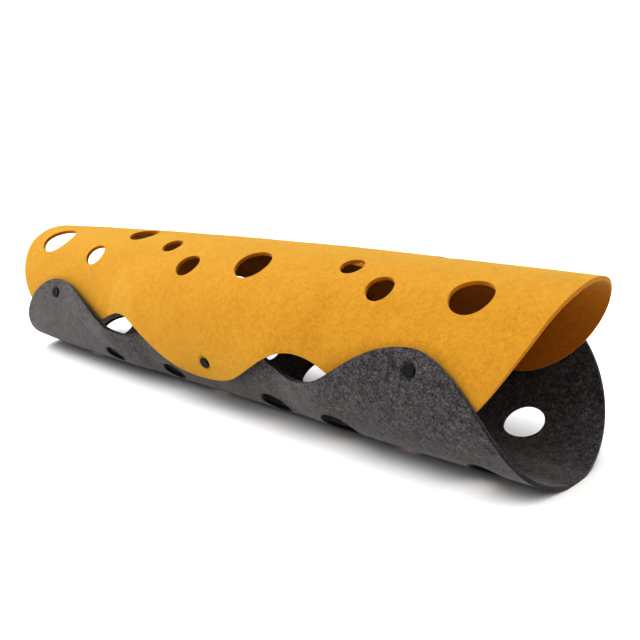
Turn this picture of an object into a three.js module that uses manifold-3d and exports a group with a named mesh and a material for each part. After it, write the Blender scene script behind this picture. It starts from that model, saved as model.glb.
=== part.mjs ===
// Cat tunnel of two felt sheets, bent into an oval tube and held along both sides by snap buttons.
// Millimetres. X runs along the tube to its wider mouth, Y to the back and Z up from the floor.
// A place on a sheet is given by x and by s, the way across from the sheet's centre line, which is
// positive to the front on the upper sheet and to the back on the lower one.

import * as THREE from "three";
import { mergeVertices } from "three/addons/utils/BufferGeometryUtils.js";
import Module from "manifold-3d";

// Felt, and the room left between pieces
const FELT = 5;
const LAYER_GAP = 1.4;
const SEAT_GAP = 0.4;

// Outline of a sheet: three lobes on each long side and a rounded petal at each end
const LOBE_PITCH = 340;
const LOBE_LAP = 51;
const TROUGH_SHORT = 16.5;
const WAVE_FULLNESS = 2.4;
const PETAL_REACH = { far: 144, near: 141 };
const PETAL_POWER = 1.74;

// Oval of the bent felt at the middle of its thickness, slimmer at the far end than at the near one
const SECTION_REACH = 480;
const OVAL = {
  halfWidth: { far: 100, middle: 122.5, near: 126.5 },
  halfHeight: { far: 99, middle: 109.5, near: 113 },
};
const ROLL = THREE.MathUtils.degToRad(5.7);

// Strip along the bottom where the tube's weight presses it flat on the floor
const FLOOR_PRESS = 1.7;
const FLOOR_EASE = 0.3;

// The lower sheet's far tip curls up off the floor, and the upper one leans to the back at its near end
const FAR_TIP_CURL = 8;
const NEAR_LEAN = 6;

// Where the sheets change over: the upper one is outside in the middle, the lower one at both ends
const CHANGE_HALF_LENGTH = 44;
const LIFT_STARTS = 0.3;
const LIFT_FULL = 0.68;

// Peep holes, the same in both sheets
const HOLES = [
  { x: -411, s: 51, radius: 32 },
  { x: -354, s: -36, radius: 16 },
  { x: -282, s: 77, radius: 19 },
  { x: -227, s: 11, radius: 24 },
  { x: -220, s: -117, radius: 18 },
  { x: -129, s: 40, radius: 16 },
  { x: -101, s: -99, radius: 20 },
  { x: -60, s: 77, radius: 19 },
  { x: -46, s: -42, radius: 17 },
  { x: 52, s: 59, radius: 26.5 },
  { x: 101, s: -95, radius: 23 },
  { x: 202, s: 40, radius: 15.5 },
  { x: 217, s: -101, radius: 27.5 },
  { x: 262, s: 70, radius: 18 },
  { x: 288, s: -40, radius: 17 },
  { x: 377, s: 64, radius: 25.5 },
  { x: 410, s: -92, radius: 20.5 },
];

// Snap buttons, one in each lapping pair of lobes, each set in from the outer lobe's edge
const CAP_RADIUS = 7.5;
const CAP_CROWN = 1.6;
const CAP_RIM = 0.6;
const SOCKET_RADIUS = 6.5;
const SOCKET_THICKNESS = 2.4;
const SOCKET_FLOOR = 0.9;
const POST_RADIUS = 2.2;
const POCKET_DEPTH = 1.2;
const SNAP_ROWS = [
  { name: "far", x: -340, inset: 22, outer: "lower" },
  { name: "middle", x: 12, inset: 28, outer: "upper" },
  { name: "near", x: 340, inset: 22, outer: "lower" },
];
const SIDES = ["front", "back"];

// Fineness of the faces
const MIDDLE_CELLS = 28;
const PETAL_CELLS = 7;
const CELLS_ACROSS = 20;
const HOLE_SIDES = 16;
const SNAP_SIDES = 12;
const POST_SIDES = 8;

const wasm = await Module();
wasm.setup();

// A curve through three sizes, at the far end, the middle and the near end.
function sizeAlong({ far, middle, near }, x) {
  const k = x / SECTION_REACH;
  return middle + ((near - far) / 2) * k + ((near + far) / 2 - middle) * k * k;
}

// The height of the felt's middle once the floor has pressed it flat.
function pressedHeight(z) {
  const over = z - FELT / 2;
  if (over >= FLOOR_EASE) {
    return z;
  }
  if (over <= -FLOOR_EASE) {
    return FELT / 2;
  }
  return FELT / 2 + (over + FLOOR_EASE) ** 2 / (4 * FLOOR_EASE);
}

// The oval at one x, in Y and Z, from its top round by the front, the bottom and the back.
class Oval extends THREE.Curve {
  constructor(x) {
    super();
    this.halfWidth = sizeAlong(OVAL.halfWidth, x);
    this.halfHeight = sizeAlong(OVAL.halfHeight, x);
    const reachDown = Math.hypot(this.halfWidth * Math.sin(ROLL), this.halfHeight * Math.cos(ROLL));
    this.centreHeight = reachDown + FELT / 2 - FLOOR_PRESS;
  }

  getPoint(t, target = new THREE.Vector2()) {
    const angle = 2 * Math.PI * t;
    const across = this.halfWidth * Math.sin(angle);
    const up = this.halfHeight * Math.cos(angle);
    const y = -(across * Math.cos(ROLL) + up * Math.sin(ROLL));
    const z = this.centreHeight + up * Math.cos(ROLL) - across * Math.sin(ROLL);
    return target.set(y, pressedHeight(z));
  }
}

const ovals = new Map();

function ovalAt(x) {
  if (!ovals.has(x)) {
    ovals.set(x, new Oval(x));
  }
  return ovals.get(x);
}

const GIRTH = ovalAt(0).getLength();
const QUARTER = GIRTH / 4;

// Each sheet's centre line as a share of the girth, and the way it lifts where the upper one is outside.
const SHEETS = {
  upper: { centre: 0, lift: 1, lean: -NEAR_LEAN, curl: 0, colour: 0xe8a52c },
  lower: { centre: 0.5, lift: -1, lean: 0, curl: FAR_TIP_CURL, colour: 0x514d4f },
};

// How far x lies past the end lobes, as a share of the petal's reach.
function petalShare(x) {
  const reach = x < 0 ? PETAL_REACH.far : PETAL_REACH.near;
  return Math.max(0, Math.abs(x) - LOBE_PITCH) / reach;
}

// Half the width of a sheet at x.
function halfWidthOfSheet(x) {
  const past = petalShare(x);
  if (past > 0) {
    return (QUARTER + LOBE_LAP) * Math.sqrt(Math.max(0, 1 - past ** PETAL_POWER));
  }
  const turn = (2 * Math.PI * x) / LOBE_PITCH;
  const mean = (LOBE_LAP - TROUGH_SHORT) / 2;
  const swing = (LOBE_LAP + TROUGH_SHORT) / 2;
  return QUARTER + mean + swing * Math.cos(turn) + WAVE_FULLNESS * (1 - Math.cos(2 * turn));
}

// How far a sheet's middle lies outside the oval, so that the lapping lobes pass over each other.
function liftOf(sheet, x, s) {
  const changeAt = LOBE_PITCH / 2;
  const changed = THREE.MathUtils.smoothstep(
    Math.abs(x),
    changeAt - CHANGE_HALF_LENGTH,
    changeAt + CHANGE_HALF_LENGTH,
  );
  const nearSeam = THREE.MathUtils.smoothstep(Math.abs(s) / QUARTER, LIFT_STARTS, LIFT_FULL);
  return (sheet.lift * (1 - 2 * changed) * nearSeam * (FELT + LAYER_GAP)) / 2;
}

// How far a sheet's far tip is curled up, fading to nothing at the end lobes and at the seams.
function curlOf(sheet, x, s) {
  const fromSeam = Math.max(0, 1 - Math.abs(s) / QUARTER);
  return x < 0 ? sheet.curl * petalShare(x) ** 2 * fromSeam : 0;
}

// A point of the bent sheet and the way out of the tube there; depth is measured from the felt's middle.
function placeOn(sheet, x, s, depth = 0) {
  const oval = ovalAt(x);
  const lean = sheet.lean * Math.max(0, x / SECTION_REACH) ** 2;
  const share = THREE.MathUtils.euclideanModulo(sheet.centre + (s + lean) / GIRTH, 1);
  const middle = oval.getPointAt(share);
  const along = oval.getTangentAt(share);
  const outward = new THREE.Vector3(0, along.y, -along.x);
  const point = new THREE.Vector3(x, middle.x, middle.y + curlOf(sheet, x, s));
  point.addScaledVector(outward, liftOf(sheet, x, s) + depth);
  return { point, outward };
}

// The x of a column of cells: even between the end lobes, and even in angle round each petal.
function columnPlace(column) {
  const fromMiddle = column - PETAL_CELLS - MIDDLE_CELLS / 2;
  const past = Math.abs(fromMiddle) - MIDDLE_CELLS / 2;
  if (past <= 0) {
    return (fromMiddle * 2 * LOBE_PITCH) / MIDDLE_CELLS;
  }
  const share = Math.sin((past / PETAL_CELLS) * (Math.PI / 2)) ** (2 / PETAL_POWER);
  return fromMiddle < 0 ? -LOBE_PITCH - PETAL_REACH.far * share : LOBE_PITCH + PETAL_REACH.near * share;
}

// A geometry as a closed solid, with its shared corners joined and its vanished faces left out.
function solidOf(geometry) {
  const bare = geometry.clone();
  bare.deleteAttribute("normal");
  bare.deleteAttribute("uv");
  const joined = mergeVertices(bare);
  const corners = joined.index.array;
  const kept = [];
  for (let i = 0; i < corners.length; i += 3) {
    const [a, b, c] = corners.slice(i, i + 3);
    if (a !== b && b !== c && c !== a) {
      kept.push(a, b, c);
    }
  }
  return new wasm.Manifold(
    new wasm.Mesh({
      numProp: 3,
      vertProperties: new Float32Array(joined.attributes.position.array),
      triVerts: new Uint32Array(kept),
    }),
  );
}

// A solid as a geometry that can be drawn.
function geometryOf(solid) {
  const mesh = solid.getMesh();
  const geometry = new THREE.BufferGeometry();
  geometry.setAttribute("position", new THREE.BufferAttribute(mesh.vertProperties, 3));
  geometry.setIndex(new THREE.BufferAttribute(mesh.triVerts, 1));
  geometry.computeVertexNormals();
  return geometry;
}

// A turned piece's geometry, made round the Y axis, set at a point with that axis along a way.
function setAlong(geometry, point, way) {
  const turn = new THREE.Quaternion().setFromUnitVectors(new THREE.Vector3(0, 1, 0), way);
  return geometry.applyQuaternion(turn).translate(point.x, point.y, point.z);
}

// Splits each four-cornered cell along its shorter diagonal, which follows the bend more closely.
function splitShort(geometry) {
  const corners = geometry.attributes.position;
  const index = geometry.index;
  const at = (i) => new THREE.Vector3().fromBufferAttribute(corners, i);
  for (let i = 0; i < index.count; i += 6) {
    const [a, b, d] = [0, 1, 2].map((k) => index.getX(i + k));
    const c = index.getX(i + 4);
    if (at(a).distanceTo(at(c)) < at(b).distanceTo(at(d))) {
      [a, b, c, a, c, d].forEach((corner, k) => index.setX(i + k, corner));
    }
  }
}

// A sheet without its holes: a flat slab of cells, bent round the oval.
function bentSlab(sheet) {
  const columns = MIDDLE_CELLS + 2 * PETAL_CELLS;
  const slab = new THREE.BoxGeometry(1, 1, 1, columns, CELLS_ACROSS, 1);
  const corners = slab.attributes.position;
  for (let i = 0; i < corners.count; i += 1) {
    const x = columnPlace(Math.round((corners.getX(i) + 0.5) * columns));
    const s = -2 * corners.getY(i) * halfWidthOfSheet(x);
    const { point } = placeOn(sheet, x, s, corners.getZ(i) * FELT);
    corners.setXYZ(i, point.x, point.y, point.z);
  }
  splitShort(slab);
  return slab;
}

// Where a snap sits: on the oval at its lobes, with the way out of the tube.
function snapPlace(row, side) {
  const outer = SHEETS[row.outer];
  const front = side === "front" ? 1 : -1;
  const across = QUARTER + LOBE_LAP - row.inset;
  const s = row.outer === "upper" ? front * across : -front * across;
  const { point, outward } = placeOn(outer, row.x, s);
  point.addScaledVector(outward, -liftOf(outer, row.x, s));
  return { point, outward };
}

// Heights of a snap's pieces along its axis, from the oval out.
const OUTER_FACE = LAYER_GAP / 2 + FELT;
const CAP_SEAT = OUTER_FACE - POCKET_DEPTH;
const CAP_BASE = CAP_SEAT + SEAT_GAP;
const SOCKET_BASE = -CAP_BASE;
const SOCKET_END = SOCKET_BASE - SOCKET_THICKNESS;
const POST_END = SOCKET_END + SOCKET_FLOOR + SEAT_GAP;
const POST_HOLE_RADIUS = POST_RADIUS + SEAT_GAP;
const PAST_FACE = 6;

// A straight cutter along a snap's axis between two heights, with its flats at the radius.
function snapCutter(row, side, radius, from, to, sides) {
  const { point, outward } = snapPlace(row, side);
  const cornerRadius = radius / Math.cos(Math.PI / sides);
  const cutter = new THREE.CylinderGeometry(cornerRadius, cornerRadius, to - from, sides);
  cutter.translate(0, (from + to) / 2, 0);
  return solidOf(setAlong(cutter, point, outward));
}

// A punch for a peep hole, long enough to pass through the bent felt.
function holePunch(sheet, { x, s, radius }) {
  const { point, outward } = placeOn(sheet, x, s);
  const bulge = radius ** 2 / OVAL.halfHeight.far;
  const punch = new THREE.CylinderGeometry(radius, radius, FELT + 2 * bulge + 2 * PAST_FACE, HOLE_SIDES);
  return solidOf(setAlong(punch, point, outward));
}

// A finished sheet, with its peep holes, its snap holes and the pockets that the snaps press in it.
function feltSheet(name) {
  const sheet = SHEETS[name];
  let felt = solidOf(bentSlab(sheet));
  for (const hole of HOLES) {
    felt = felt.subtract(holePunch(sheet, hole));
  }
  for (const row of SNAP_ROWS) {
    const isOuter = row.outer === name;
    const postSpan = [-OUTER_FACE - PAST_FACE, OUTER_FACE + PAST_FACE];
    const pocketSpan = isOuter ? [CAP_SEAT, OUTER_FACE + PAST_FACE] : [-OUTER_FACE - PAST_FACE, -CAP_SEAT];
    const pocketRadius = (isOuter ? CAP_RADIUS : SOCKET_RADIUS) + SEAT_GAP;
    for (const side of SIDES) {
      felt = felt.subtract(snapCutter(row, side, POST_HOLE_RADIUS, ...postSpan, POST_SIDES));
      felt = felt.subtract(snapCutter(row, side, pocketRadius, ...pocketSpan, SNAP_SIDES));
    }
  }
  const material = new THREE.MeshStandardMaterial({ color: sheet.colour, roughness: 0.95, metalness: 0 });
  const mesh = new THREE.Mesh(geometryOf(felt), material);
  mesh.name = `felt_${name}`;
  return mesh;
}

// A turned snap piece from its profile of radius and height, from the axis round to the axis.
function turnedPiece(name, profile, row, side) {
  const points = profile.map(([radius, height]) => new THREE.Vector2(radius, height));
  const material = new THREE.MeshStandardMaterial({ color: 0x343335, roughness: 0.5, metalness: 0 });
  const mesh = new THREE.Mesh(new THREE.LatheGeometry(points, SNAP_SIDES), material);
  const { point, outward } = snapPlace(row, side);
  mesh.position.copy(point);
  mesh.quaternion.setFromUnitVectors(new THREE.Vector3(0, 1, 0), outward);
  mesh.name = `${name}_${side}_${row.name}`;
  return mesh;
}

// The cap with its post, on the outer sheet.
function snapCap(row, side) {
  const profile = [
    [0, POST_END],
    [POST_RADIUS, POST_END],
    [POST_RADIUS, CAP_BASE],
    [CAP_RADIUS, CAP_BASE],
    [CAP_RADIUS, CAP_BASE + CAP_RIM],
    [CAP_RADIUS * 0.6, CAP_BASE + CAP_CROWN * 0.9],
    [0, CAP_BASE + CAP_CROWN],
  ];
  return turnedPiece("snap_cap", profile, row, side);
}

// The socket round the post's end, on the inside of the inner sheet.
function snapSocket(row, side) {
  const profile = [
    [0, SOCKET_END],
    [SOCKET_RADIUS, SOCKET_END],
    [SOCKET_RADIUS, SOCKET_BASE],
    [POST_HOLE_RADIUS, SOCKET_BASE],
    [POST_HOLE_RADIUS, SOCKET_END + SOCKET_FLOOR],
    [0, SOCKET_END + SOCKET_FLOOR],
  ];
  return turnedPiece("snap_socket", profile, row, side);
}

const tunnel = new THREE.Group();
tunnel.name = "cat_tunnel";
tunnel.add(feltSheet("upper"), feltSheet("lower"));
for (const side of SIDES) {
  for (const row of SNAP_ROWS) {
    tunnel.add(snapCap(row, side), snapSocket(row, side));
  }
}

export default tunnel;
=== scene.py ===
"""Felt cat tunnel: two wavy-edged felt sheets, bent into an oval tube and held by snap buttons.

The tunnel's sizes are in millimetres, and each mesh is scaled to metres once it is made. X runs
along the tube to its wider mouth, Y to the back and Z up from the floor. A place on a flat sheet
is x and s, the way across from the sheet's centre line: to the front on the upper sheet, to the
back on the lower. The studio's sizes are in metres.
"""

import bisect
import logging
import math
from dataclasses import dataclass, field
from enum import Enum

import bmesh
import bpy
from bmesh.types import BMesh, BMVert
from mathutils import Matrix, Vector, kdtree, noise

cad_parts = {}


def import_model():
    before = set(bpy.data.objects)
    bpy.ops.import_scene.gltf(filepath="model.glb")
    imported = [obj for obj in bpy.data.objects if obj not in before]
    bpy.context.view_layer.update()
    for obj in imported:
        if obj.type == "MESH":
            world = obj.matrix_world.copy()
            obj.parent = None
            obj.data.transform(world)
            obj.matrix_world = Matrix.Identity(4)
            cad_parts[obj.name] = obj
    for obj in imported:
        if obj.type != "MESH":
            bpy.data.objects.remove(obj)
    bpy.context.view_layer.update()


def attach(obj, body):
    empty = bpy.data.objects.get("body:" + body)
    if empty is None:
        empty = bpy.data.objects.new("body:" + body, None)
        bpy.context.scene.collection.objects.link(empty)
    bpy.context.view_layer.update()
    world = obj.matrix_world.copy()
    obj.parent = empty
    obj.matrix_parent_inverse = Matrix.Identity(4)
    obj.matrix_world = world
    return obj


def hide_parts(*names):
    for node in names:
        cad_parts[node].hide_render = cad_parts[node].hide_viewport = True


LOG = logging.getLogger("felt_tunnel")
MM = 0.001
BODY = "root"
FULL_TURN = 2 * math.pi

Colour = tuple[float, float, float, float]
Place = tuple[float, float, float]
Span = tuple[float, float]
Profile = tuple[Span, ...]

WHITE: Colour = (1.0, 1.0, 1.0, 1.0)


class Layer(Enum):
    """The two felt sheets."""

    UPPER = "upper"
    LOWER = "lower"


class Side(Enum):
    """The two sides along which the sheets lap."""

    FRONT = "front"
    BACK = "back"


def smoothstep(value: float, low: float, high: float) -> float:
    """Eases from 0 at low to 1 at high.

    Args:
        value: The place to read.
        low: Where the ease starts.
        high: Where it ends.

    Returns:
        The eased share, from 0 to 1.
    """
    share = min(1.0, max(0.0, (value - low) / (high - low)))
    return share * share * (3 - 2 * share)


def linked(bm: BMesh, name: str) -> bpy.types.Object:
    """Turns a mesh into an object at the origin.

    Args:
        bm: The mesh, which is freed.
        name: The object's name.

    Returns:
        The object, linked to the scene.
    """
    mesh = bpy.data.meshes.new(name)
    bm.to_mesh(mesh)
    bm.free()
    made = bpy.data.objects.new(name, mesh)
    bpy.context.scene.collection.objects.link(made)
    return made


def finished(bm: BMesh, name: str) -> bpy.types.Object:
    """Turns a mesh in millimetres into a smooth piece in metres.

    Args:
        bm: The mesh, which is freed.
        name: The piece's name.

    Returns:
        The piece, linked to the scene.
    """
    bmesh.ops.recalc_face_normals(bm, faces=bm.faces)
    bmesh.ops.scale(bm, vec=(MM, MM, MM), verts=bm.verts)
    for face in bm.faces:
        face.smooth = True
    LOG.info("%s: %d faces", name, len(bm.faces))
    return linked(bm, name)


@dataclass(frozen=True)
class SizeAlong:
    """A size at the tube's far end, middle and near end, with a smooth curve through them."""

    far: float
    middle: float
    near: float

    def at(self, share: float) -> float:
        """Gives the size at a place along the tube.

        Args:
            share: The share of the way from the middle, -1 at the far end and 1 at the near one.

        Returns:
            The size there.
        """
        slope = (self.near - self.far) / 2
        bend = (self.near + self.far) / 2 - self.middle
        return self.middle + slope * share + bend * share**2


@dataclass
class TubeShape:
    """The oval that both sheets are bent round, at the middle of the felt's thickness."""

    felt: float = 5.0
    layer_gap: float = 1.4
    section_reach: float = 480.0
    half_width: SizeAlong = SizeAlong(100.0, 122.5, 126.5)
    half_height: SizeAlong = SizeAlong(99.0, 109.5, 113.0)
    roll: float = math.radians(5.7)
    floor_press: float = 1.7
    floor_ease: float = 0.3
    station_reach: float = 490.0
    station_count: int = 24
    turn_count: int = 720
    even_below: float = 8.0
    uneven_above: float = 60.0
    wave_length: float = 140.0
    wave_height: float = 0.7
    dent_length: float = 24.0
    dent_height: float = 0.16
    stations: list[list[float]] = field(init=False)
    girth: float = field(init=False)

    def __post_init__(self) -> None:
        """Measures the way round the oval at each station along the tube."""
        step = 2 * self.station_reach / self.station_count
        places = [-self.station_reach + step * i for i in range(self.station_count + 1)]
        self.stations = [self.shares_round(x)[0] for x in places]
        self.girth = self.shares_round(0.0)[1]

    @property
    def quarter(self) -> float:
        """A quarter of the girth at the middle of the tube."""
        return self.girth / 4

    def curve(self, x: float, turn: float) -> tuple[Vector, Vector]:
        """Gives a point of the oval and the way out of the tube there.

        Args:
            x: The place along the tube.
            turn: The oval's angle from the top round by the front.

        Returns:
            The point and the outward unit vector.
        """
        share = x / self.section_reach
        wide, high = self.half_width.at(share), self.half_height.at(share)
        cos_roll, sin_roll = math.cos(self.roll), math.sin(self.roll)
        across, up = wide * math.sin(turn), high * math.cos(turn)
        across_rate, up_rate = wide * math.cos(turn), -high * math.sin(turn)
        centre = math.hypot(wide * sin_roll, high * cos_roll) + self.felt / 2 - self.floor_press
        height, slope = self.pressed(centre + up * cos_roll - across * sin_roll)
        y_rate = -(across_rate * cos_roll + up_rate * sin_roll)
        z_rate = slope * (up_rate * cos_roll - across_rate * sin_roll)
        point = Vector((x, -(across * cos_roll + up * sin_roll), height))
        return point, Vector((0.0, z_rate, -y_rate)).normalized()

    def pressed(self, height: float) -> tuple[float, float]:
        """Presses a height flat on the floor.

        Args:
            height: The felt's middle on the free oval.

        Returns:
            The pressed height and how fast it follows the free one.
        """
        rest = self.felt / 2
        over = height - rest
        if over >= self.floor_ease:
            return height, 1.0
        if over <= -self.floor_ease:
            return rest, 0.0
        eased = over + self.floor_ease
        return rest + eased**2 / (4 * self.floor_ease), eased / (2 * self.floor_ease)

    def shares_round(self, x: float) -> tuple[list[float], float]:
        """Measures the way round the oval at even angles.

        Args:
            x: The place along the tube.

        Returns:
            The share of the girth at each angle, and the girth.
        """
        turns = [FULL_TURN * i / self.turn_count for i in range(self.turn_count + 1)]
        points = [self.curve(x, turn)[0] for turn in turns]
        lengths = [0.0]
        for before, here in zip(points, points[1:]):
            lengths.append(lengths[-1] + (here - before).length)
        return [length / lengths[-1] for length in lengths], lengths[-1]

    def turn_at(self, x: float, share: float) -> float:
        """Finds the oval's angle at a share of the girth.

        Args:
            x: The place along the tube.
            share: The share of the girth from the top round by the front.

        Returns:
            The angle, in radians.
        """
        place = (x + self.station_reach) / (2 * self.station_reach) * self.station_count
        first = min(self.station_count - 1, max(0, int(place)))
        turns = []
        for station in self.stations[first : first + 2]:
            i = min(self.turn_count - 1, max(0, bisect.bisect_right(station, share) - 1))
            part = (share - station[i]) / (station[i + 1] - station[i])
            turns.append((i + part) * FULL_TURN / self.turn_count)
        return turns[0] + (turns[1] - turns[0]) * (place - first)

    def at(self, x: float, share: float) -> tuple[Vector, Vector]:
        """Gives the point and the outward way at a share of the girth, as uneven as bent felt is.

        Args:
            x: The place along the tube.
            share: The share of the girth from the top round by the front.

        Returns:
            The point and the outward unit vector.
        """
        point, outward = self.curve(x, self.turn_at(x, share % 1.0))
        off_floor = smoothstep(point.z, self.even_below, self.uneven_above)
        wave = noise.noise(point / self.wave_length) * self.wave_height
        dent = noise.noise(point / self.dent_length) * self.dent_height
        return point + outward * ((wave + dent) * off_floor), outward


@dataclass(frozen=True)
class Grain:
    """A noise pattern: its features to the unit, its finer layers and how strong those are."""

    scale: float
    detail: float
    rough: float = 0.5


class NodeBoard:
    """A node tree with short ways to add nodes and join them."""

    MIX_SHARE = 0
    MIX_COLOURS = (6, 7)
    MIX_RESULT = 2

    def __init__(self, tree: bpy.types.NodeTree) -> None:
        """Takes the tree to add to."""
        self.tree = tree

    def add(self, kind: str, **values: object) -> bpy.types.Node:
        """Adds a node.

        Args:
            kind: The node's type.
            values: Its settings by name.

        Returns:
            The node.
        """
        node = self.tree.nodes.new(kind)
        for name, value in values.items():
            setattr(node, name, value)
        return node

    def feed(self, socket: bpy.types.NodeSocket, source: object) -> None:
        """Links a socket to its source, or sets it where the source is a plain value.

        Args:
            socket: The socket to feed.
            source: Another node's output, or a value.
        """
        if isinstance(source, bpy.types.NodeSocket):
            self.tree.links.new(source, socket)
        else:
            socket.default_value = source

    def feed_all(self, node: bpy.types.Node, sources: dict[str, object]) -> None:
        """Feeds a node's sockets by their names."""
        for name, source in sources.items():
            self.feed(node.inputs[name], source)

    def math(self, operation: str, first: object, second: object = 0.0) -> bpy.types.NodeSocket:
        """Adds a Math node.

        Args:
            operation: What it works out.
            first: Its first value.
            second: Its second value.

        Returns:
            The result.
        """
        node = self.add("ShaderNodeMath", operation=operation)
        self.feed(node.inputs[0], first)
        self.feed(node.inputs[1], second)
        return node.outputs[0]

    def noise(self, place: object, grain: Grain, output: str = "Fac") -> bpy.types.NodeSocket:
        """Adds a Noise Texture.

        Args:
            place: Where it reads.
            grain: Its pattern.
            output: The output to give.

        Returns:
            The noise.
        """
        node = self.add("ShaderNodeTexNoise")
        pattern = {"Scale": grain.scale, "Detail": grain.detail, "Roughness": grain.rough}
        self.feed_all(node, {"Vector": place} | pattern)
        return node.outputs[output]

    def ramp(self, value: object, limits: Span, to: Span = (0.0, 1.0)) -> bpy.types.NodeSocket:
        """Adds a smooth Map Range.

        Args:
            value: What is mapped.
            limits: The values that give the first and the last end.
            to: The two ends.

        Returns:
            The mapped value.
        """
        node = self.add("ShaderNodeMapRange", interpolation_type="SMOOTHSTEP")
        self.feed_all(node, {"Value": value, "From Min": limits[0], "From Max": limits[1]})
        self.feed_all(node, {"To Min": to[0], "To Max": to[1]})
        return node.outputs["Result"]

    def mix(
        self, share: object, first: object, second: object, blend: str = "MIX"
    ) -> bpy.types.NodeSocket:
        """Adds a colour Mix node.

        Args:
            share: How much of the second.
            first: The first colour.
            second: The second colour.
            blend: How they are blended.

        Returns:
            The mixed colour.
        """
        node = self.add("ShaderNodeMix", data_type="RGBA", blend_type=blend)
        self.feed(node.inputs[self.MIX_SHARE], share)
        for index, colour in zip(self.MIX_COLOURS, (first, second)):
            self.feed(node.inputs[index], colour)
        return node.outputs[self.MIX_RESULT]

    def bump(self, height: object, strength: float, depth: float) -> bpy.types.NodeSocket:
        """Adds a Bump node.

        Args:
            height: The relief.
            strength: How strong it is.
            depth: How deep it is.

        Returns:
            The normal.
        """
        node = self.add("ShaderNodeBump")
        self.feed_all(node, {"Height": height, "Strength": strength, "Distance": depth * MM})
        return node.outputs["Normal"]


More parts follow.
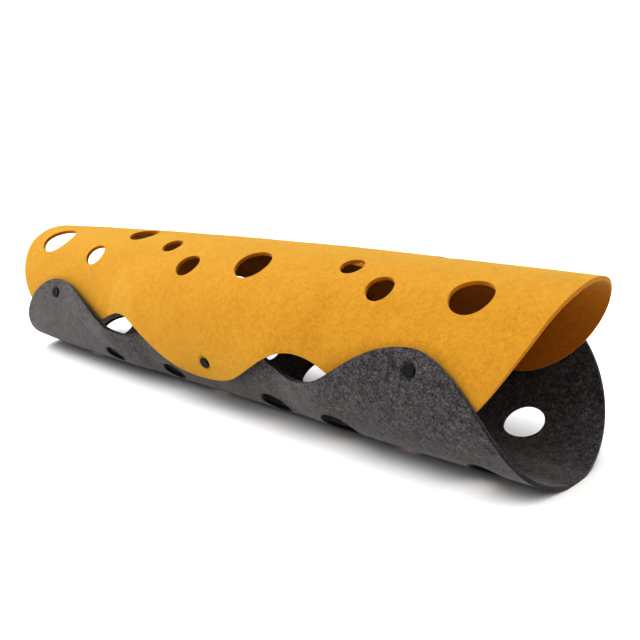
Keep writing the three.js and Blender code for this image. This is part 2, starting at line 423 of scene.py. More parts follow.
class FeltFibres:
    """The look of pressed felt as a node group: matted fibres, mottling, a darker cut edge and
    painted shade on the inner face.

    Fibres and flecks are given by the way they lie in radians, their length and their width.
    """

    NAME = "felt_fibres"
    COLOURS = ("Base", "Light", "Dark", "Edge Colour", "Inner Painted Shade")
    SHARES = ("Light Share", "Dark Share", "Tuft Share")
    FIBRES = ((0.35, 6.7, 0.77), (-0.80, 5.3, 0.67), (1.45, 5.9, 0.87))
    STRAND = Grain(1.0, 1.0)
    STRAND_HALF = (0.07, 0.01)
    STRAY = Grain(120.0, 2.0)
    STRAY_REACH = 6.0
    FLECKS = ((0.45, 2.8, 0.68), (1.50, 2.8, 0.68), (2.55, 2.8, 0.68))
    FLECK = Grain(1.0, 2.0, 0.6)
    FLECK_LIMITS = (0.455, 0.56)
    OFF_FIBRE = 0.35
    MOTTLE = Grain(260.0, 4.0, 0.72)
    TUFT = Grain(160.0, 2.0, 0.6)
    CLOUD = Grain(14.0, 2.0)
    NOISE_MIDDLE = 0.5
    NOISE_LIMITS = (0.3, 0.7)
    MATTED_SHARE = 0.5
    MATTED_LIMITS = (0.56, 0.42)
    CLOUD_TONES = (0.975, 1.02)
    # Where the inner face's painted shade fades in, by height over the felt's middle.
    INNER_SHADE_FACE_LIMITS = (0.8 * MM, -0.8 * MM)
    ROUGHNESS = (1.0, 0.86)
    RELIEF = {"fibres": 0.55, "mottle": 0.6, "tufts": 0.9, "flecks": 0.35}

    @classmethod
    def group(cls) -> bpy.types.NodeTree:
        """Gives the group, which is built on first use."""
        return bpy.data.node_groups.get(cls.NAME) or cls.build()

    @classmethod
    def build(cls) -> bpy.types.NodeTree:
        """Builds the group.

        Returns:
            The node group.
        """
        tree = bpy.data.node_groups.new(cls.NAME, "ShaderNodeTree")
        for name in cls.COLOURS:
            tree.interface.new_socket(name, in_out="INPUT", socket_type="NodeSocketColor")
        for name in cls.SHARES:
            tree.interface.new_socket(name, in_out="INPUT", socket_type="NodeSocketFloat")
        tree.interface.new_socket("Colour", in_out="OUTPUT", socket_type="NodeSocketColor")
        for name in ("Roughness", "Height"):
            tree.interface.new_socket(name, in_out="OUTPUT", socket_type="NodeSocketFloat")
        board = NodeBoard(tree)
        place = board.add("ShaderNodeAttribute", attribute_name="flat_place").outputs["Vector"]
        patterns = {
            "fibres": cls.fibres(board, place),
            "flecks": cls.flecks(board, place),
            "mottle": board.noise(place, cls.MOTTLE),
            "tufts": board.noise(place, cls.TUFT),
        }
        height: object = 0.0
        for name, share in cls.RELIEF.items():
            height = board.math("ADD", height, board.math("MULTIPLY", patterns[name], share))
        colour = cls.felt_colour(board, place, patterns)
        rough = board.ramp(patterns["mottle"], cls.NOISE_LIMITS, cls.ROUGHNESS)
        output = board.add("NodeGroupOutput")
        board.feed_all(output, {"Colour": colour, "Roughness": rough, "Height": height})
        return tree

    @classmethod
    def felt_colour(
        cls,
        board: NodeBoard,
        place: bpy.types.NodeSocket,
        patterns: dict[str, bpy.types.NodeSocket],
    ) -> bpy.types.NodeSocket:
        """Colours the felt: dark mottling, light flecks, tufts, painted shade on the inner face
        and the cut edge.

        Args:
            board: The group's nodes.
            place: The place on the flat felt, with its height over the felt's middle.
            patterns: The patterns by name.

        Returns:
            The colour.
        """
        inputs = board.add("NodeGroupInput").outputs
        mottle = board.math("MULTIPLY", patterns["mottle"], cls.MATTED_SHARE)
        tufts = board.math("MULTIPLY", patterns["tufts"], 1 - cls.MATTED_SHARE)
        matted = board.ramp(board.math("ADD", mottle, tufts), cls.MATTED_LIMITS)
        darker = board.math("MULTIPLY", matted, inputs["Dark Share"])
        colour = board.mix(darker, inputs["Base"], inputs["Dark"])
        on_fleck = board.ramp(patterns["flecks"], cls.FLECK_LIMITS)
        on_fibre = board.ramp(patterns["fibres"], (0.0, 1.0), (cls.OFF_FIBRE, 1.0))
        bright = board.math("MULTIPLY", on_fleck, on_fibre)
        lighter = board.math("MULTIPLY", bright, inputs["Light Share"])
        colour = board.mix(lighter, colour, inputs["Light"])
        raised = board.math("SUBTRACT", patterns["tufts"], cls.NOISE_MIDDLE)
        tufted = board.math("MULTIPLY", raised, inputs["Tuft Share"])
        cloud = board.ramp(board.noise(place, cls.CLOUD), cls.NOISE_LIMITS, cls.CLOUD_TONES)
        toned = board.add("ShaderNodeVectorMath", operation="SCALE")
        board.feed(toned.inputs[0], colour)
        board.feed(toned.inputs["Scale"], board.math("ADD", cloud, tufted))
        # The inner face, inside the tube, is multiplied by a tint: painted shade of the tube's
        # dark inside.
        parts = board.add("ShaderNodeSeparateXYZ")
        board.feed(parts.inputs[0], place)
        inner = board.ramp(parts.outputs["Z"], cls.INNER_SHADE_FACE_LIMITS)
        with_inner_shade = board.mix(inner, toned.outputs[0], inputs["Inner Painted Shade"], "MULTIPLY")
        edge = board.add("ShaderNodeAttribute", attribute_name="cut_edge").outputs["Fac"]
        return board.mix(edge, with_inner_shade, inputs["Edge Colour"])

    @staticmethod
    def laid(
        board: NodeBoard, place: bpy.types.NodeSocket, turn: float, length: float, width: float
    ) -> bpy.types.NodeSocket:
        """Measures a place in the lengths and widths of fibres that lie one way.

        Args:
            board: The group's nodes.
            place: The place on the flat felt, in metres.
            turn: The way that the fibres lie, in radians from the sheet's length.
            length: The length of a fibre.
            width: Its width.

        Returns:
            The place in fibre lengths and widths.
        """
        mapped = board.add("ShaderNodeMapping", vector_type="TEXTURE")
        size = (length * MM, width * MM, width * MM)
        board.feed_all(mapped, {"Vector": place, "Rotation": (0.0, 0.0, turn), "Scale": size})
        return mapped.outputs[0]

    @classmethod
    def flecks(cls, board: NodeBoard, place: bpy.types.NodeSocket) -> bpy.types.NodeSocket:
        """Scatters short flecks of fibre in three ways across each other.

        Args:
            board: The group's nodes.
            place: The place on the flat felt.

        Returns:
            A value about 0.5, higher on a fleck.
        """
        total: object = 0.0
        for turn, length, width in cls.FLECKS:
            fleck = board.noise(cls.laid(board, place, turn, length, width), cls.FLECK)
            part = board.math("MULTIPLY", fleck, 1 / len(cls.FLECKS))
            total = board.math("ADD", total, part)
        return total

    @classmethod
    def fibres(cls, board: NodeBoard, place: bpy.types.NodeSocket) -> bpy.types.NodeSocket:
        """Lays thin matted fibres in a few ways across each other.

        Args:
            board: The group's nodes.
            place: The place on the flat felt.

        Returns:
            A mask that is 1 on a fibre.
        """
        reach = (cls.STRAY_REACH * MM,) * 3
        bent = board.add("ShaderNodeVectorMath", operation="MULTIPLY_ADD")
        for i, source in enumerate((board.noise(place, cls.STRAY, "Color"), reach, place)):
            board.feed(bent.inputs[i], source)
        mask: object = 0.0
        for turn, length, width in cls.FIBRES:
            laid = cls.laid(board, bent.outputs[0], turn, length, width)
            strand = board.math("SUBTRACT", board.noise(laid, cls.STRAND), cls.NOISE_MIDDLE)
            fibre = board.ramp(board.math("ABSOLUTE", strand), cls.STRAND_HALF)
            mask = board.math("MAXIMUM", mask, fibre)
        return mask


@dataclass(frozen=True)
class Finish:
    """A finish: the name of its material, and its slot in the record."""

    name: str
    slot: str

    def material(self) -> bpy.types.Material:
        """Gives the material, which is made on first use.

        Returns:
            The material.
        """
        material = bpy.data.materials.get(self.name)
        if material is None:
            material = bpy.data.materials.new(self.name)
            material.use_nodes = True
            shader = material.node_tree.nodes["Principled BSDF"]
            self.wire(NodeBoard(material.node_tree), shader)
        return material

    def wire(self, board: NodeBoard, shader: bpy.types.Node) -> None:
        """Feeds the material's shader, which each finish does in its own way."""
        raise NotImplementedError


@dataclass(frozen=True)
class FeltFinish(Finish):
    """A pressed felt and its colours."""

    base: Colour
    light: Colour
    dark: Colour
    edge: Colour
    # Painted shade multiplied onto the inner face, standing in for the tube's shaded inside.
    painted_inner_shade: Colour
    light_share: float
    dark_share: float
    tuft_share: float
    relief: float
    sheen: float
    sheen_tint: Colour
    relief_depth: float = 0.6
    sheen_roughness: float = 0.30
    specular: float = 0.15

    def wire(self, board: NodeBoard, shader: bpy.types.Node) -> None:
        """Feeds the shader with the felt's fibres and its sheen.

        Args:
            board: The material's nodes.
            shader: Its shader.
        """
        felt = board.add("ShaderNodeGroup", node_tree=FeltFibres.group())
        colours = (self.base, self.light, self.dark, self.edge, self.painted_inner_shade)
        shares = (self.light_share, self.dark_share, self.tuft_share)
        board.feed_all(felt, dict(zip(FeltFibres.COLOURS, colours)))
        board.feed_all(felt, dict(zip(FeltFibres.SHARES, shares)))
        sources = {
            "Base Color": felt.outputs["Colour"],
            "Roughness": felt.outputs["Roughness"],
            "Normal": board.bump(felt.outputs["Height"], self.relief, self.relief_depth),
            "Specular IOR Level": self.specular,
            "Sheen Weight": self.sheen,
            "Sheen Roughness": self.sheen_roughness,
            "Sheen Tint": self.sheen_tint,
        }
        board.feed_all(shader, sources)


@dataclass(frozen=True)
class PlasticFinish(Finish):
    """A moulded plastic with a fine spark-eroded grain, paler where it is handled."""

    base: Colour
    worn: Colour
    grain: Grain = Grain(2600.0, 3.0, 0.6)
    grain_strength: float = 0.25
    grain_depth: float = 0.1
    handling: Grain = Grain(420.0, 4.0, 0.6)
    worn_limits: Span = (0.45, 0.75)
    rough_limits: Span = (0.3, 0.7)
    roughness: Span = (0.42, 0.58)
    specular: float = 0.15

    def wire(self, board: NodeBoard, shader: bpy.types.Node) -> None:
        """Feeds the shader with the plastic's grain and wear.

        Args:
            board: The material's nodes.
            shader: Its shader.
        """
        place = board.add("ShaderNodeTexCoord").outputs["Object"]
        grain = board.noise(place, self.grain)
        handling = board.noise(place, self.handling)
        handled = board.ramp(handling, self.worn_limits)
        sources = {
            "Base Color": board.mix(handled, self.base, self.worn),
            "Roughness": board.ramp(handling, self.rough_limits, self.roughness),
            "Normal": board.bump(grain, self.grain_strength, self.grain_depth),
            "Specular IOR Level": self.specular,
        }
        board.feed_all(shader, sources)


YELLOW_FELT = FeltFinish(
    name="pressed_felt_yellow",
    slot="felt_yellow",
    base=(0.435, 0.216, 0.024, 1.0),
    light=(0.515, 0.306, 0.048, 1.0),
    dark=(0.38, 0.173, 0.016, 1.0),
    edge=(0.40, 0.150, 0.009, 1.0),
    # The inner face is tinted deeper and redder: painted shade of the tube's inside.
    painted_inner_shade=(0.96, 0.68, 0.45, 1.0),
    light_share=0.5,
    dark_share=0.42,
    tuft_share=0.18,
    relief=0.5,
    sheen=0.45,
    sheen_tint=(1.0, 0.96, 0.36, 1.0),
)
CHARCOAL_FELT = FeltFinish(
    name="pressed_felt_charcoal",
    slot="felt_charcoal",
    base=(0.031, 0.0278, 0.0275, 1.0),
    light=(0.175, 0.162, 0.161, 1.0),
    dark=(0.016, 0.0145, 0.0145, 1.0),
    edge=(0.018, 0.0165, 0.018, 1.0),
    # The inner face is tinted slightly cooler: painted light that offsets the warm light bounced
    # off the yellow felt inside the tube.
    painted_inner_shade=(1.0, 1.02, 1.05, 1.0),
    light_share=0.76,
    dark_share=1.0,
    tuft_share=1.4,
    relief=0.6,
    sheen=0.54,
    sheen_tint=(0.87, 0.83, 0.82, 1.0),
)
SNAP_PLASTIC = PlasticFinish(
    name="moulded_snap_plastic",
    slot="snap_plastic",
    base=(0.010, 0.0105, 0.0105, 1.0),
    worn=(0.018, 0.019, 0.019, 1.0),
)


@dataclass(frozen=True)
class Hole:
    """A round hole punched through a flat sheet."""

    x: float
    s: float
    radius: float

    def turn_to(self, vert: BMVert) -> float:
        """Gives the angle at which a corner lies from the hole's middle."""
        return math.atan2(vert.co.y - self.s, vert.co.x - self.x)


@dataclass(frozen=True)
class Pressing:
    """A place where a snap presses one face of the felt in."""

    x: float
    s: float
    outer_face: bool


@dataclass(frozen=True)
class SnapRow:
    """A pair of snaps, one on each side of the tube, and the sheet that carries their caps."""

    name: str
    x: float
    inset: float
    outer: Layer


PEEP_HOLES = (
    Hole(-411.0, 51.0, 32.0),
    Hole(-354.0, -36.0, 16.0),
    Hole(-282.0, 77.0, 19.0),
    Hole(-227.0, 11.0, 24.0),
    Hole(-220.0, -117.0, 18.0),
    Hole(-129.0, 40.0, 16.0),
    Hole(-101.0, -99.0, 20.0),
    Hole(-60.0, 77.0, 19.0),
    Hole(-46.0, -42.0, 17.0),
    Hole(52.0, 59.0, 26.5),
    Hole(101.0, -95.0, 23.0),
    Hole(202.0, 40.0, 15.5),
    Hole(217.0, -101.0, 27.5),
    Hole(262.0, 70.0, 18.0),
    Hole(288.0, -40.0, 17.0),
    Hole(377.0, 64.0, 25.5),
    Hole(410.0, -92.0, 20.5),
)

SNAP_ROWS = (
    SnapRow("far", -340.0, 22.0, Layer.LOWER),
    SnapRow("middle", 12.0, 28.0, Layer.UPPER),
    SnapRow("near", 340.0, 22.0, Layer.LOWER),
)


@dataclass
class FeltSheet:
    """One felt sheet: cut flat, punched, and bent round the tube.

    The way of its lift is 1 where the sheet is outside at the middle lobe, and -1 where inside.
    """

    layer: Layer
    tube: TubeShape
    centre_share: float
    lift_way: float
    near_lean: float = 0.0
    far_curl: float = 0.0
    lobe_pitch: float = 340.0
    lobe_lap: float = 51.0
    trough_short: float = 16.5
    wave_fullness: float = 2.4
    far_petal: float = 144.0
    near_petal: float = 141.0
    petal_power: float = 1.74
    change_half_length: float = 44.0
    lift_starts: float = 0.3
    lift_full: float = 0.68
    slack: float = 2.8
    slack_reach: float = 70.0
    slack_petal_share: float = 0.5
    edge_rise: float = 3.0
    edge_rise_reach: float = 50.0
    post_hole_radius: float = 2.6
    press_depth: float = 1.65
    press_radius: float = 8.1
    press_reach: float = 11.8
    press_cuts: int = 2
    cell: float = 4.0
    trim: float = 2.2
    outline_step: float = 0.5
    relax_rounds: int = 4
    relax_share: float = 0.5
    edge_band: float = 1.2
    edge_round: float = 0.6
    edge_segments: int = 2
    edge_angle: float = math.radians(45.0)
    edge_normal: float = 0.5
    pressings: list[Pressing] = field(default_factory=list)
    flat_area: float = 0.0
    flat_length: float = 0.0

    @property
    def full_half(self) -> float:
        """Half the flat sheet's width across its lobes."""
        return self.tube.quarter + self.lobe_lap

    def petal_share(self, x: float) -> float:
        """Gives how far x lies past the end lobes, as a share of the petal's reach."""
        reach = self.far_petal if x < 0 else self.near_petal
        return max(0.0, abs(x) - self.lobe_pitch) / reach

    def half_width(self, x: float) -> float:
        """Gives half the flat sheet's width.

        Args:
            x: The place along the sheet.

        Returns:
            The way from the centre line to the edge.
        """
        past = self.petal_share(x)
        if past > 0:
            return self.full_half * math.sqrt(max(0.0, 1 - past**self.petal_power))
        turn = FULL_TURN * x / self.lobe_pitch
        mean = (self.lobe_lap - self.trough_short) / 2
        swing = (self.lobe_lap + self.trough_short) / 2
        fullness = self.wave_fullness * (1 - math.cos(2 * turn))
        return self.tube.quarter + mean + swing * math.cos(turn) + fullness

    def lean(self, x: float) -> float:
        """Gives how far the sheet leans round the tube at x."""
        return self.near_lean * max(0.0, x / self.tube.section_reach) ** 2

    def share(self, x: float, s: float) -> float:
        """Gives the share of the girth of a place on the sheet."""
        return (self.centre_share + (s + self.lean(x)) / self.tube.girth) % 1.0

    def across(self, x: float, share: float) -> float:
        """Gives the way across the sheet to a share of the girth."""
        turn = (share - self.centre_share + 0.5) % 1.0 - 0.5
        return turn * self.tube.girth - self.lean(x)

    def lift(self, x: float, s: float) -> float:
        """Gives how far the sheet's middle lies outside the oval, so that the lobes can lap.

        Between the snaps the inner sheet is slack, and the outer one's free edge stands off.

        Args:
            x: The place along the sheet.
            s: The place across it.

        Returns:
            The lift, below zero where this sheet is the inner one.
        """
        change, half = self.lobe_pitch / 2, self.change_half_length
        changed = smoothstep(abs(x), change - half, change + half)
        near_seam = smoothstep(abs(s) / self.tube.quarter, self.lift_starts, self.lift_full)
        near_edge = 1 - smoothstep(self.half_width(x) - abs(s), 0.0, self.edge_rise_reach)
        full = (self.tube.felt + self.tube.layer_gap) / 2
        outward = self.lift_way * (1 - 2 * changed)
        rise = max(0.0, outward) ** 2 * self.edge_rise * near_edge
        sink = max(0.0, -outward) ** 2 * self.slack
        return near_seam * (outward * full + (rise - sink) * self.free_of_snaps(x, s))

    def free_of_snaps(self, x: float, s: float) -> float:
        """Gives how loose the felt is at a place between the snaps.

        Args:
            x: The place along the sheet.
            s: The place across it.

        Returns:
            A share from 0, at a snap and out in the end petals, to 1.
        """
        away = min(math.hypot(x - pressing.x, s - pressing.s) for pressing in self.pressings)
        in_petal = self.petal_share(x) / self.slack_petal_share
        return smoothstep(away, self.press_reach, self.slack_reach) * max(0.0, 1 - in_petal)

    def curl(self, x: float, s: float) -> float:
        """Gives how far the sheet's far tip is curled up."""
        from_seam = max(0.0, 1 - abs(s) / self.tube.quarter)
        return self.far_curl * self.petal_share(x) ** 2 * from_seam if x < 0 else 0.0

    def snap_share(self, row: SnapRow, side: Side) -> float:
        """Finds a snap's share of the girth from its inset on this sheet.

        Args:
            row: The snap's row, whose caps are on this sheet.
            side: The side of the tube.

        Returns:
            The share of the girth from the top round by the front.
        """
        way = 1.0 if (side is Side.FRONT) == (self.layer is Layer.UPPER) else -1.0
        return self.share(row.x, way * (self.full_half - row.inset))

    def press_at(self, row: SnapRow, share: float) -> None:
        """Notes that a snap presses this sheet."""
        place = self.across(row.x, share)
        self.pressings.append(Pressing(row.x, place, row.outer is self.layer))

    def outline(self) -> kdtree.KDTree:
        """Lays points close together along the sheet's outline.

        Returns:
            The points, ready to be searched.
        """
        points: list[Vector] = []
        count = round(2 * self.lobe_pitch / self.outline_step)
        for i in range(count + 1):
            x = -self.lobe_pitch + 2 * self.lobe_pitch * i / count
            points += [Vector((x, way * self.half_width(x), 0.0)) for way in (1, -1)]
        full = self.full_half
        count = round(math.pi * full / 2 / self.outline_step)
        for way, reach in ((-1, self.far_petal), (1, self.near_petal)):
            for i in range(-count, count + 1):
                turn = math.pi / 2 * i / count
                along = math.cos(turn) ** (2 / self.petal_power) * reach
                x = way * (self.lobe_pitch + along)
                points.append(Vector((x, full * math.sin(turn), 0.0)))
        tree = kdtree.KDTree(len(points))
        for i, point in enumerate(points):
            tree.insert(point, i)
        tree.balance()
        return tree

    def cut_blank(self) -> BMesh:
        """Cuts the outline from a grid of small squares.

        Returns:
            The flat sheet, one face thick.
        """
        tree = self.outline()
        low = -self.lobe_pitch - self.far_petal - self.cell
        columns = math.ceil((self.lobe_pitch + self.near_petal + self.cell - low) / self.cell)
        rows = 2 * math.ceil(self.full_half / self.cell + 1)
        half_unit = 0.5
        bm = bmesh.new()
        bmesh.ops.create_grid(bm, x_segments=columns, y_segments=rows, size=half_unit)
        bmesh.ops.translate(bm, vec=(half_unit, 0.0, 0.0), verts=bm.verts)
        bmesh.ops.scale(bm, vec=(columns * self.cell, rows * self.cell, 1.0), verts=bm.verts)
        bmesh.ops.translate(bm, vec=(low, 0.0, 0.0), verts=bm.verts)
        outside = {
            vert
            for vert in bm.verts
            if abs(vert.co.y) >= self.half_width(vert.co.x)
            or tree.find(vert.co)[2] < self.trim
        }
        waste = [face for face in bm.faces if outside.intersection(face.verts)]
        bmesh.ops.delete(bm, geom=waste, context="FACES")
        border = [edge for edge in bm.edges if edge.is_boundary]
        stairs = list(dict.fromkeys(vert for edge in border for vert in edge.verts))
        grown = bmesh.ops.extrude_edge_only(bm, edges=border)["geom"]
        for vert in (item for item in grown if isinstance(item, BMVert)):
            vert.co = tree.find(vert.co)[0]
        self.relax(bm, stairs)
        return bm

    def relax(self, bm: BMesh, verts: list[BMVert]) -> None:
        """Evens out the squares that were cut in steps.

        Args:
            bm: The flat sheet.
            verts: The corners that may move.
        """
        for _ in range(self.relax_rounds):
            bmesh.ops.smooth_vert(
                bm, verts=verts, factor=self.relax_share, use_axis_x=True, use_axis_y=True
            )

    def refine_pressings(self, bm: BMesh) -> None:
        """Makes the squares finer where the snaps press the felt.

        Args:
            bm: The flat sheet.
        """
        reach = self.press_reach + self.cell
        for pressing in self.pressings:
            middle = Vector((pressing.x, pressing.s, 0.0))
            near = [
                edge
                for edge in bm.edges
                if all((vert.co - middle).length < reach for vert in edge.verts)
            ]
            bmesh.ops.subdivide_edges(bm, edges=near, cuts=self.press_cuts, use_grid_fill=True)

    def punch(self, bm: BMesh, hole: Hole, clear: float) -> None:
        """Punches a round hole through the flat sheet.

        Args:
            bm: The flat sheet.
            hole: The hole.
            clear: The least width of the ring of faces laid round it.
        """
        middle = Vector((hole.x, hole.s, 0.0))
        reach = hole.radius + clear
        waste = [
            face
            for face in bm.faces
            if any((vert.co - middle).length < reach for vert in face.verts)
        ]
        gone = set(waste)
        touched = dict.fromkeys(edge for face in waste for edge in face.edges)
        border = [edge for edge in touched if not gone.issuperset(edge.link_faces)]
        stairs = list(dict.fromkeys(vert for edge in border for vert in edge.verts))
        bmesh.ops.delete(bm, geom=waste, context="FACES")
        grown = bmesh.ops.extrude_edge_only(bm, edges=border)["geom"]
        rim = [item for item in grown if isinstance(item, BMVert)]
        rim.sort(key=hole.turn_to)
        step = FULL_TURN / len(rim)
        first = sum(hole.turn_to(vert) - step * i for i, vert in enumerate(rim)) / len(rim)
        for i, vert in enumerate(rim):
            turn = first + step * i
            vert.co = middle + Vector((math.cos(turn), math.sin(turn), 0.0)) * hole.radius
        self.relax(bm, stairs)

    def thicken(self, bm: BMesh) -> None:
        """Gives the flat sheet its thickness and rounds its cut edges.

        Args:
            bm: The flat sheet, one face thick.
        """
        bmesh.ops.inset_region(
            bm,
            faces=bm.faces[:],
            thickness=self.edge_band,
            use_boundary=True,
            use_even_offset=True,
        )
        grown = bmesh.ops.extrude_face_region(bm, geom=bm.faces[:], use_keep_orig=True)["geom"]
        top = [item for item in grown if isinstance(item, BMVert)]
        bmesh.ops.translate(bm, vec=(0.0, 0.0, -self.tube.felt / 2), verts=bm.verts)
        bmesh.ops.translate(bm, vec=(0.0, 0.0, self.tube.felt), verts=top)
        bmesh.ops.recalc_face_normals(bm, faces=bm.faces)
        sharp = [edge for edge in bm.edges if edge.calc_face_angle(0.0) > self.edge_angle]
        bmesh.ops.bevel(
            bm,
            geom=sharp,
            offset=self.edge_round,
            offset_type="OFFSET",
            affect="EDGES",
            segments=self.edge_segments,
            profile=0.5,
            material=-1,
            clamp_overlap=True,
        )
        bm.normal_update()

    def pressed_depth(self, x: float, s: float, depth: float) -> float:
        """Presses the felt's face in under the snaps.

        Args:
            x: The place along the sheet.
            s: The place across it.
            depth: The height over the felt's middle, out of the tube.

        Returns:
            The height once the snaps are closed.
        """
        for pressing in self.pressings:
            way = 1.0 if pressing.outer_face else -1.0
            away = math.hypot(x - pressing.x, s - pressing.s)
            if depth * way > 0 and away < self.press_reach:
                share = 1 - smoothstep(away, self.press_radius, self.press_reach)
                depth -= 2 * self.press_depth * share * depth / self.tube.felt
        return depth

    def bend(self, bm: BMesh) -> None:
        """Bends the flat sheet round the tube.

        Each corner keeps its place on the flat felt, and whether it is on a cut edge, as
        attributes that the finish reads.

        Args:
            bm: The flat sheet with its thickness.
        """
        flat_place = bm.verts.layers.float_vector.new("flat_place")
        cut_edge = bm.verts.layers.float.new("cut_edge")
        for vert in bm.verts:
            on_edge = any(abs(face.normal.z) < self.edge_normal for face in vert.link_faces)
            vert[cut_edge] = 1.0 if on_edge else 0.0
            vert[flat_place] = vert.co * MM
        for vert in bm.verts:
            x, s, depth = vert.co
            middle, outward = self.tube.at(x, self.share(x, s))
            middle.z += self.curl(x, s)
            vert.co = middle + outward * (self.lift(x, s) + self.pressed_depth(x, s, depth))

    def build(self) -> bpy.types.Object:
        """Makes the sheet.

        Returns:
            The sheet as an object.
        """
        bm = self.cut_blank()
        for hole in PEEP_HOLES:
            self.punch(bm, hole, self.trim)
        self.refine_pressings(bm)
        for pressing in self.pressings:
            hole = Hole(pressing.x, pressing.s, self.post_hole_radius)
            self.punch(bm, hole, self.edge_band)
        self.flat_area = sum(face.calc_area() for face in bm.faces)
        along = [vert.co.x for vert in bm.verts]
        self.flat_length = max(along) - min(along)
        self.thicken(bm)
        self.bend(bm)
        return finished(bm, f"sheet_{self.layer.value}")

    def dress(
        self, piece: bpy.types.Object, finish: Finish, trim: list[bpy.types.Object]
    ) -> None:
        """Args:
            piece: The sheet.
            finish: The felt.
            trim: The snap pieces that the sheet carries; not used.
        """
        piece.data.materials.append(finish.material())
        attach(piece, BODY)
        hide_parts(f"felt_{self.layer.value}")


@dataclass
class SnapButton:
    """A snap: a cap with its post on the outer sheet, and a socket inside the inner one.

    A profile gives the radius and height of each corner, from the snap's axis round to the axis.
    """

    row: SnapRow
    side: Side
    point: Vector
    outward: Vector
    steps: int = 48
    weld: float = 0.001
    cap_profile: Profile = (
        (0.0, 6.75), (2.6, 6.80), (4.4, 6.98), (5.4, 7.18), (6.2, 7.20),
        (7.0, 6.98), (7.5, 6.50), (7.7, 5.90), (7.7, 5.15), (7.5, 4.75),
        (7.0, 4.60), (2.2, 4.60), (2.2, -5.60), (1.8, -6.00), (0.0, -6.00),
    )
    socket_profile: Profile = (
        (0.0, -6.40), (2.6, -6.40), (2.6, -4.60), (6.1, -4.60), (6.5, -4.90),
        (6.5, -5.40), (6.1, -5.75), (5.0, -5.95), (4.6, -6.30), (4.4, -6.95),
        (4.0, -7.30), (1.7, -7.30), (1.2, -7.10), (0.0, -7.05),
    )

    @property
    def place_name(self) -> str:
        """The end of the names of this snap's pieces."""
        return f"{self.side.value}_{self.row.name}"

    def turned(self, name: str, profile: Profile) -> bpy.types.Object:
        """Turns a profile round the snap's axis.

        Args:
            name: The piece's name.
            profile: The profile to turn.

        Returns:
            The piece, in its place.
        """
        bm = bmesh.new()
        corners = [bm.verts.new((radius, 0.0, height)) for radius, height in profile]
        lines = [bm.edges.new(pair) for pair in zip(corners, corners[1:])]
        bmesh.ops.spin(
            bm,
            geom=corners + lines,
            cent=(0.0, 0.0, 0.0),
            axis=(0.0, 0.0, 1.0),
            angle=FULL_TURN,
            steps=self.steps,
            use_merge=True,
        )
        bmesh.ops.remove_doubles(bm, verts=bm.verts, dist=self.weld)
        along = Vector((1.0, 0.0, 0.0))
        turn = Matrix((along, self.outward.cross(along), self.outward)).transposed().to_4x4()
        bmesh.ops.transform(bm, matrix=Matrix.Translation(self.point) @ turn, verts=bm.verts)
        return finished(bm, name)

    def build(self) -> list[bpy.types.Object]:
        """Makes the snap's two pieces.

        Returns:
            The cap and the socket.
        """
        cap = self.turned(f"cap_{self.place_name}", self.cap_profile)
        socket = self.turned(f"socket_{self.place_name}", self.socket_profile)
        return [cap, socket]

    def dress(self, pieces: list[bpy.types.Object], finish: Finish) -> None:
        """Args:
            pieces: The cap and the socket.
            finish: The plastic.
        """
        for piece, node in zip(pieces, ("snap_cap", "snap_socket")):
            piece.data.materials.append(finish.material())
            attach(piece, BODY)
            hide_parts(f"{node}_{self.place_name}")


@dataclass(frozen=True)
class SoftLight:
    """A square soft box, aimed at the middle of the tunnel."""

    name: str
    place: Place
    size: float
    power: float
    aim: Place = (0.0, 0.0, 0.12)

    def build(self) -> None:
        """Hangs the light."""
        lamp = bpy.data.lights.new(self.name, "AREA")
        lamp.size = self.size
        lamp.energy = self.power
        box = bpy.data.objects.new(self.name, lamp)
        box.location = self.place
        way = Vector(self.aim) - Vector(self.place)
        box.rotation_euler = way.to_track_quat("-Z", "Y").to_euler()
        bpy.context.scene.collection.objects.link(box)


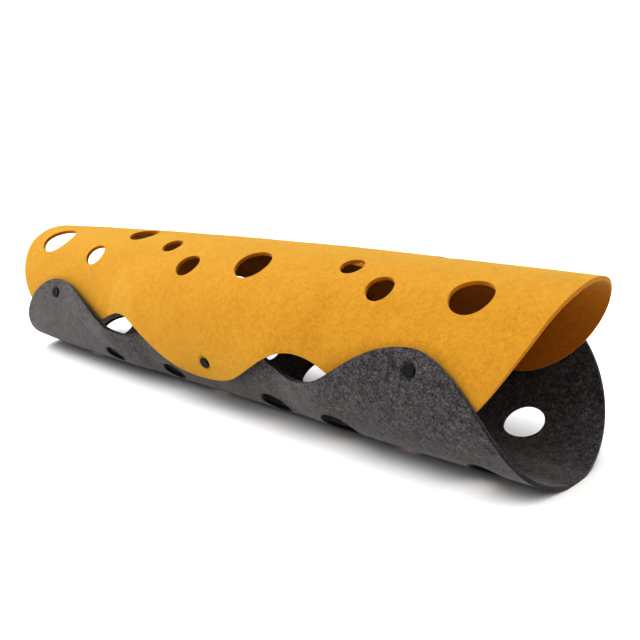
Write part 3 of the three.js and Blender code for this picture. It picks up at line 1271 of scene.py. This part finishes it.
@dataclass
class Studio:
    """The pale floor, the soft light and the camera.

    The sky is stronger from the left and from above, and has a pale rim all round. Its limits are
    the parts of a unit vector to the sky between which each of these fades.
    """

    floor_half: float = 12.0
    floor_squares: int = 4
    floor_drop: float = 0.0003
    floor_colour: Colour = (0.90, 0.90, 0.90, 1.0)
    floor_roughness: float = 0.9
    sky_side: Span = (0.02, 0.70)
    sky_side_limits: Span = (0.7, -0.3)
    sky_low: float = 0.45
    sky_low_limits: Span = (0.26, 0.20)
    sky_top: float = 1.08
    sky_top_limits: Span = (0.2, 0.75)
    backdrop: float = 0.8
    key: SoftLight = SoftLight("key", (-1.4, -1.1, 2.0), 1.2, 21.5)
    fill: SoftLight = SoftLight("fill", (1.1, -2.0, 1.8), 2.4, 3.0)
    camera_place: Place = (0.81745, -0.84420, 0.40057)
    camera_tilt: float = math.radians(90 - 14.04)
    camera_turn: float = math.radians(40.02)
    lens: float = 47.66
    sensor: float = 36.0

    def floor(self) -> None:
        """Lays the floor."""
        bm = bmesh.new()
        squares = self.floor_squares
        bmesh.ops.create_grid(bm, x_segments=squares, y_segments=squares, size=self.floor_half)
        bmesh.ops.translate(bm, vec=(0.0, 0.0, -self.floor_drop), verts=bm.verts)
        floor = linked(bm, "floor")
        material = bpy.data.materials.new("pale_floor")
        material.use_nodes = True
        shader = material.node_tree.nodes["Principled BSDF"]
        shader.inputs["Base Color"].default_value = self.floor_colour
        shader.inputs["Roughness"].default_value = self.floor_roughness
        shader.inputs["Specular IOR Level"].default_value = 0.0
        floor.data.materials.append(material)

    def sky(self) -> None:
        """Sets the soft sky, which is an even white backdrop where the camera sees it."""
        world = bpy.data.worlds.new("soft_sky")
        world.use_nodes = True
        board = NodeBoard(world.node_tree)
        way = board.add("ShaderNodeSeparateXYZ")
        board.feed(way.inputs[0], board.add("ShaderNodeTexCoord").outputs["Generated"])
        side = board.ramp(way.outputs["X"], self.sky_side_limits, self.sky_side)
        low = board.ramp(way.outputs["Z"], self.sky_low_limits, (0.0, self.sky_low))
        top = board.ramp(way.outputs["Z"], self.sky_top_limits, (0.0, self.sky_top))
        light = board.math("ADD", board.math("MAXIMUM", side, low), top)
        seen = board.add("ShaderNodeLightPath").outputs["Is Camera Ray"]
        strength = board.math("MAXIMUM", light, board.math("MULTIPLY", seen, self.backdrop))
        background = world.node_tree.nodes["Background"]
        board.feed_all(background, {"Color": WHITE, "Strength": strength})
        bpy.context.scene.world = world

    def view(self) -> None:
        """Sets how light is shown, with the photograph's clear whites and deep darks."""
        bpy.context.scene.view_settings.view_transform = "Standard"
        bpy.context.scene.view_settings.look = "High Contrast"

    def camera(self) -> None:
        """Places the camera where the photograph was taken from."""
        lens = bpy.data.cameras.new("camera")
        lens.lens = self.lens
        lens.sensor_width = self.sensor
        camera = bpy.data.objects.new("camera", lens)
        camera.location = self.camera_place
        camera.rotation_euler = (self.camera_tilt, 0.0, self.camera_turn)
        bpy.context.scene.collection.objects.link(camera)
        bpy.context.scene.camera = camera

    def build(self) -> None:
        """Sets the whole stage."""
        self.floor()
        self.sky()
        self.key.build()
        self.fill.build()
        self.view()
        self.camera()


@dataclass
class CatTunnel:
    """The whole tunnel: two sheets and their snaps."""

    tube: TubeShape = field(default_factory=TubeShape)
    near_lean: float = -6.0
    far_curl: float = 8.0

    def sheets(self) -> dict[Layer, FeltSheet]:
        """Lays out the two sheets.

        Returns:
            The sheets by layer, the upper one about the top of the oval.
        """
        upper = FeltSheet(
            Layer.UPPER, self.tube, centre_share=0.0, lift_way=1.0, near_lean=self.near_lean
        )
        lower = FeltSheet(
            Layer.LOWER, self.tube, centre_share=0.5, lift_way=-1.0, far_curl=self.far_curl
        )
        return {Layer.UPPER: upper, Layer.LOWER: lower}

    def fit_snaps(self, sheets: dict[Layer, FeltSheet]) -> dict[Layer, list[bpy.types.Object]]:
        """Builds and dresses the snaps, and notes where they press the sheets.

        Args:
            sheets: The sheets by layer.

        Returns:
            The snap pieces that each sheet carries.
        """
        trim: dict[Layer, list[bpy.types.Object]] = {layer: [] for layer in Layer}
        for row in SNAP_ROWS:
            inner = Layer.LOWER if row.outer is Layer.UPPER else Layer.UPPER
            for side in Side:
                share = sheets[row.outer].snap_share(row, side)
                for sheet in sheets.values():
                    sheet.press_at(row, share)
                snap = SnapButton(row, side, *self.tube.at(row.x, share))
                cap, socket = snap.build()
                snap.dress([cap, socket], SNAP_PLASTIC)
                trim[row.outer].append(cap)
                trim[inner].append(socket)
        return trim

    def build(self) -> None:
        """Builds and dresses each piece."""
        sheets = self.sheets()
        trim = self.fit_snaps(sheets)
        finishes = {Layer.UPPER: YELLOW_FELT, Layer.LOWER: CHARCOAL_FELT}
        for layer, sheet in sheets.items():
            sheet.dress(sheet.build(), finishes[layer], trim[layer])


def main() -> None:
    """Builds the tunnel and its stage."""
    logging.basicConfig(level=logging.INFO, format="%(name)s: %(message)s")
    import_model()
    CatTunnel().build()
    Studio().build()
    LOG.info("sizes noted")


if __name__ == "__main__":
    main()
